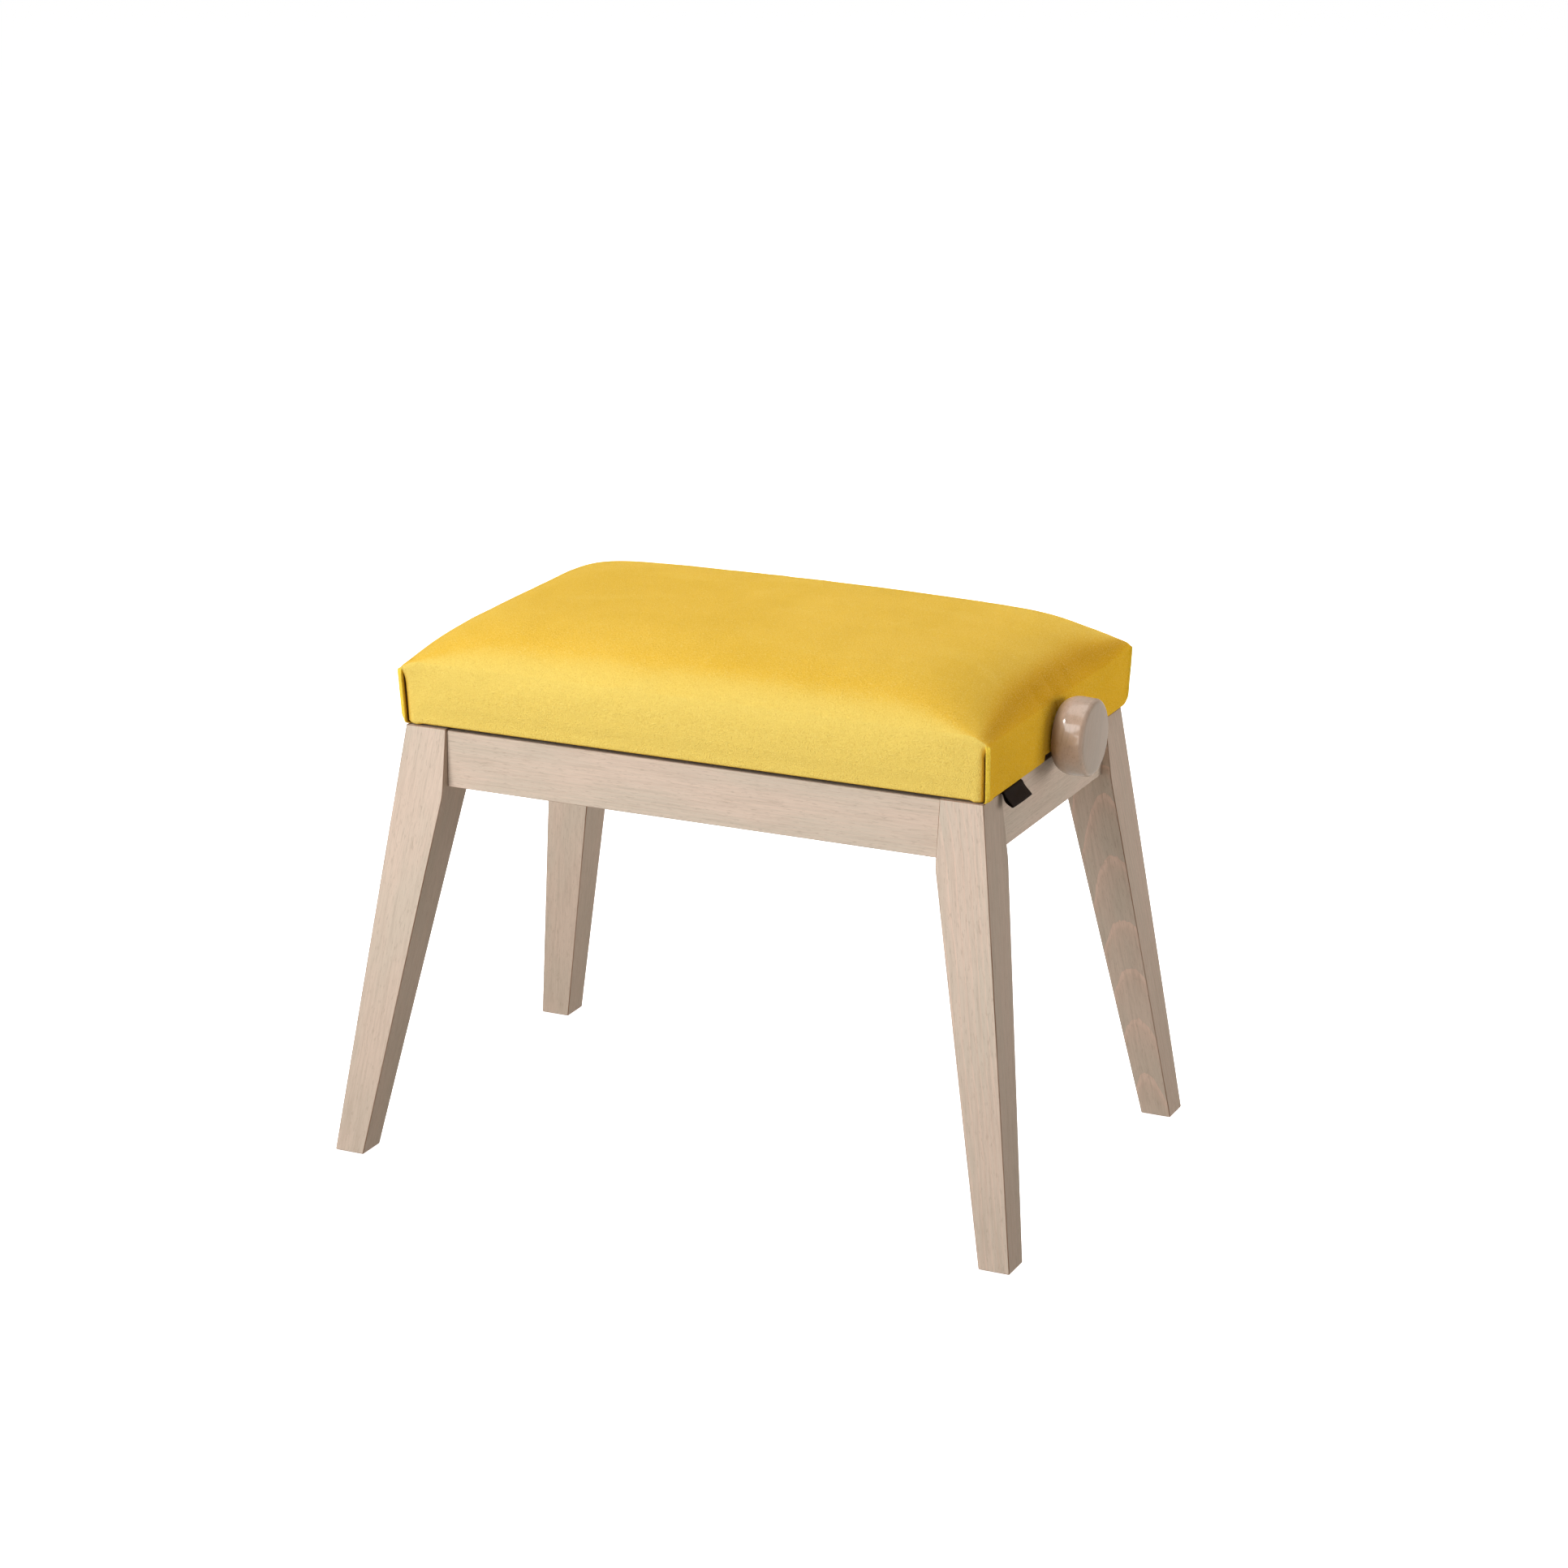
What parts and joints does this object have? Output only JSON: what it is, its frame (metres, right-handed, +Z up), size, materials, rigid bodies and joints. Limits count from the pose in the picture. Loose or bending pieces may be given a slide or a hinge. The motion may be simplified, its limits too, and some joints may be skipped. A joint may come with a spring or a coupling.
{
  "type": "piano bench",
  "caption": "Adjustable piano bench with a crowned, fabric-covered seat on four splayed wooden legs, raised and lowered by a side knob through a screw and scissor lift.",
  "frame": {"origin": "on the floor, midway between the four feet", "axes": "+X to the right along the seat's length, towards the knob; +Y to the back; +Z up"},
  "size_m": [0.6452, 0.4242, 0.494],
  "materials": {
    "washed_beech": "matt, pale washed beech",
    "plain_beech": "bare beech",
    "lacquered_beech": "pale wash under clear satin lacquer",
    "plywood": "bare plywood",
    "stained_pine": "dark stain",
    "pad_felt": "dense dark felt",
    "zinc_steel": "zinc plated",
    "bright_steel": "drawn steel, lightly oiled",
    "black_steel": "satin black powder coat",
    "brass": "turned",
    "black_nylon": "moulded",
    "foam": "open-cell foam",
    "wadding": "polyester wadding",
    "yellow_velvet": "short-pile velvet",
    "black_ribbon": "woven ribbon, plain"
  },
  "bodies": {
    "base": {"leg_front_left": "washed_beech", "leg_front_right": "washed_beech", "leg_back_left": "washed_beech", "leg_back_right": "washed_beech", "apron_front": "washed_beech", "apron_back": "washed_beech", "apron_left": "washed_beech", "apron_right": "washed_beech", "corner_block_front_left": "plain_beech", "corner_block_front_right": "plain_beech", "corner_block_back_left": "plain_beech", "corner_block_back_right": "plain_beech", "foot_pad_front_left": "pad_felt", "foot_pad_front_right": "pad_felt", "foot_pad_back_left": "pad_felt", "foot_pad_back_right": "pad_felt", "apron_dowels": "plain_beech", "corner_block_screws": "zinc_steel", "lower_rail_front": "black_steel", "lower_rail_back": "black_steel", "lower_rail_screws": "zinc_steel", "lower_pivot_rod": "bright_steel"},
    "seat": {"seat_board": "plywood", "seat_skirt_front": "stained_pine", "seat_skirt_back": "stained_pine", "seat_skirt_left": "stained_pine", "seat_skirt_right": "stained_pine", "seat_board_screws": "zinc_steel", "seat_foam": "foam", "edge_wadding": "wadding", "seat_cover": "yellow_velvet", "cover_staples": "zinc_steel", "label_tag": "black_ribbon", "upper_rail_front": "black_steel", "upper_rail_back": "black_steel", "upper_rail_screws": "zinc_steel", "upper_pivot_rod": "bright_steel", "upper_pivot_spacers": "black_nylon", "spindle_bracket": "black_steel", "spindle_bush": "brass", "bracket_screws": "zinc_steel"},
    "outer_arms": {"outer_arm_front": "black_steel", "outer_arm_back": "black_steel", "centre_rivets": "bright_steel"},
    "nut": {"nut_bar": "bright_steel"},
    "inner_arms": {"inner_arm_front": "black_steel", "inner_arm_back": "black_steel", "lower_slide_rod": "bright_steel", "slide_rod_spacers": "black_nylon"},
    "lift_screw": {"lift_spindle": "bright_steel", "thrust_collars": "bright_steel", "collar_set_screws": "zinc_steel", "knob": "lacquered_beech", "knob_insert": "brass"}
  },
  "joints": [
    {"name": "seat_lift", "type": "slide", "parent": "base", "child": "seat", "axis": [0, 0, 1], "range_m": [0, 0.09]},
    {"name": "outer_arm_pivot", "type": "hinge", "parent": "base", "child": "outer_arms", "pos_m": [-0.205, 0, 0.358], "axis": [0, -1, 0], "range_deg": [0, 13.33]},
    {"name": "nut_pivot", "type": "hinge", "parent": "outer_arms", "child": "nut", "pos_m": [0.19186, 0, 0.408], "axis": [0, 1, 0], "range_deg": [0, 13.33]},
    {"name": "inner_arm_pivot", "type": "hinge", "parent": "seat", "child": "inner_arms", "pos_m": [-0.205, 0, 0.408], "axis": [0, 1, 0], "range_deg": [0, 13.33]},
    {"name": "knob_turn", "type": "hinge", "parent": "seat", "child": "lift_screw", "pos_m": [0.2, 0, 0.408], "axis": [1, 0, 0], "range_deg": [0, 2660.5]}
  ],
  "couplings": [
    {"joint": "outer_arm_pivot", "follows": "seat_lift", "rad_per_m": 2.5805},
    {"joint": "nut_pivot", "follows": "seat_lift", "rad_per_m": 2.5805},
    {"joint": "inner_arm_pivot", "follows": "seat_lift", "rad_per_m": 2.5805},
    {"joint": "knob_turn", "follows": "seat_lift", "rad_per_m": 515.75}
  ]
}
